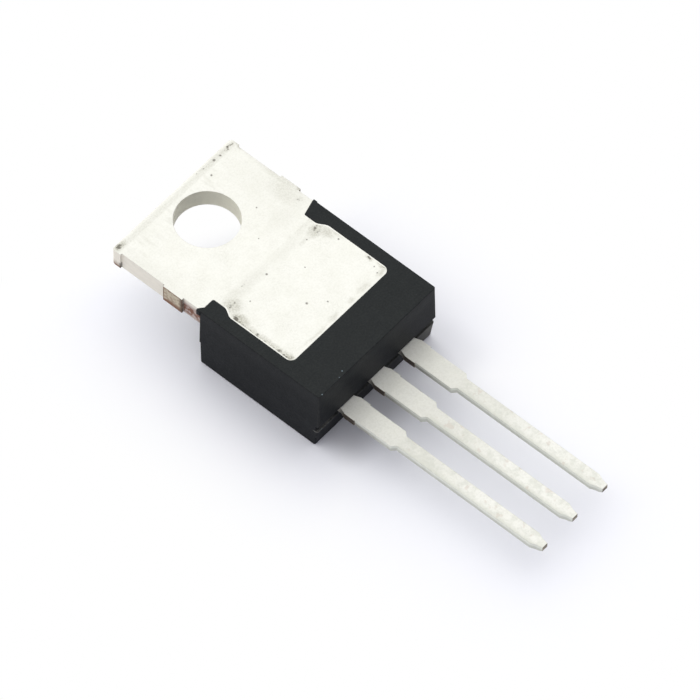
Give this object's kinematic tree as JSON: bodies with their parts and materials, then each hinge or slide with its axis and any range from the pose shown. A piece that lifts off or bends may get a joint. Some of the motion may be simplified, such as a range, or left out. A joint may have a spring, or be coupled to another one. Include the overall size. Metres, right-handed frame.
{
  "type": "low-dropout voltage regulator",
  "caption": "Through-hole voltage regulator with a moulded block body, a drilled metal heat-sink tab in its back face, and flat leads with stepped roots and pointed tips.",
  "frame": {"origin": "axis of the mounting hole, in the plane of the heat-sink (back) face", "axes": "+Z out of the back face, +Y towards the tab's free end, -Y along the leads, X across the leads with the input lead on +X"},
  "size_m": [0.01, 0.0294, 0.0048],
  "materials": {
    "moulding": "fine-grained matt black epoxy moulding compound",
    "tinned_copper": "matt tin plate over copper",
    "silicon": "sawn and metallised silicon",
    "solder": "dull solder",
    "bond_wire": "drawn aluminium wire"
  },
  "bodies": {
    "root": {"moulded_body": "moulding", "heatsink_tab": "tinned_copper", "input_lead": "tinned_copper", "output_lead": "tinned_copper", "silicon_die": "silicon", "die_attach_solder": "solder", "input_bond_wire": "bond_wire", "output_bond_wire": "bond_wire", "ground_bond_wire": "bond_wire"}
  },
  "joints": []
}
